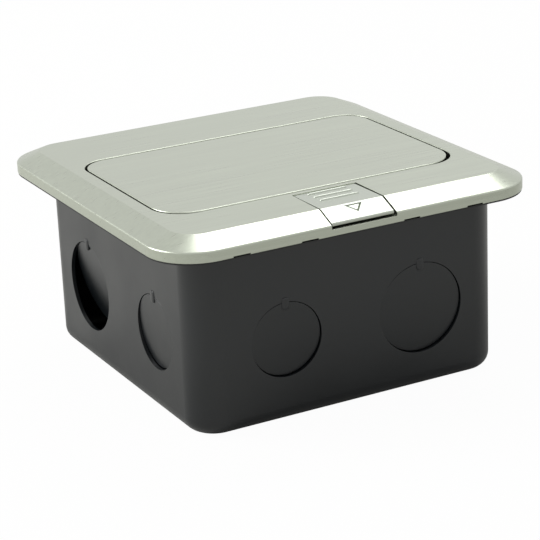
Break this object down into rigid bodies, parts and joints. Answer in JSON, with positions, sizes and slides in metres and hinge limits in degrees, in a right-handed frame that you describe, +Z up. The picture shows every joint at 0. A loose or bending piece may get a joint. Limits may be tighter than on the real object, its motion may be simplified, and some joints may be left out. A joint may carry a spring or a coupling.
{
  "type": "floor socket box",
  "caption": "Square pop-up floor socket box: brushed metal lid with a thumb latch over a tilting panel of mains and data outlets, in a deep steel back box with knockouts.",
  "frame": {"origin": "centre of the box's underside, midway across the square cover plate", "axes": "+Z up out of the floor, -Y towards the lid's latch, +X to the right seen from the latch"},
  "size_m": [0.12, 0.12, 0.0618],
  "materials": {
    "brushed_plate": "satin nickel, straight brushed",
    "brushed_latch": "satin nickel, finely blasted",
    "box_enamel": "semi-gloss black enamel on steel sheet",
    "cast_frame": "die-cast, as cast",
    "zinc_steel": "bright zinc plate",
    "spring_steel": "oiled spring steel",
    "black_rubber": "matt",
    "gasket_foam": "closed-cell foam",
    "black_nylon": "moulded, fine texture",
    "damper_nylon": "natural nylon",
    "panel_plastic": "moulded, satin",
    "module_white": "moulded, glossy",
    "contact_brass": "plain",
    "contact_gold": "gold flash"
  },
  "bodies": {
    "base": {"bottom_box": "box_enamel", "box_lugs": "zinc_steel", "earth_bush": "contact_brass", "earth_washer": "contact_brass", "earth_screw": "contact_brass", "fixing_screws": "zinc_steel", "cover_plate": "brushed_plate", "floor_gasket": "gasket_foam", "inner_frame": "cast_frame", "frame_screws": "zinc_steel", "lid_seal": "black_rubber", "hinge_pins": "zinc_steel", "pin_clips": "spring_steel", "lid_springs": "spring_steel", "damper_body": "damper_nylon", "damper_screws": "zinc_steel", "latch_spring": "spring_steel"},
    "lid": {"damper_rack": "damper_nylon", "rack_screws": "zinc_steel", "lid_strike": "spring_steel", "strike_screws": "zinc_steel", "lid_plate": "brushed_plate", "popup_carrier": "black_nylon", "carrier_screws": "zinc_steel", "rear_cover": "black_nylon", "rear_cover_screws": "zinc_steel", "cable_clamp": "black_nylon", "clamp_screws": "zinc_steel", "socket_panel": "panel_plastic", "panel_screws": "zinc_steel", "socket_housing": "module_white", "socket_back": "module_white", "live_contact": "contact_brass", "neutral_contact": "contact_brass", "earth_contact": "contact_brass", "terminal_screws": "zinc_steel", "data_jack_left": "module_white", "data_jack_right": "module_white", "jack_contacts": "contact_gold"},
    "latch": {"latch_button": "brushed_latch", "latch_hook": "zinc_steel", "latch_screws": "zinc_steel"},
    "damper": {"damper_gear": "damper_nylon"}
  },
  "joints": [
    {"name": "lid_hinge", "type": "hinge", "parent": "base", "child": "lid", "pos_m": [0, 0.0185, 0.0555], "axis": [-1, 0, 0], "range_deg": [0, 58], "deforming": ["lid_springs", "lid_strike"]},
    {"name": "latch_slide", "type": "slide", "parent": "base", "child": "latch", "axis": [0, -1, 0], "range_m": [0, 0.003], "stiffness_N_per_m": 400, "deforming": ["latch_spring"]},
    {"name": "damper_turn", "type": "hinge", "parent": "base", "child": "damper", "pos_m": [0.04, 0.00874, 0.03358], "axis": [-1, 0, 0], "range_deg": [-232, 0]}
  ],
  "couplings": [
    {"joint": "damper_turn", "follows": "lid_hinge", "ratio": -4}
  ]
}
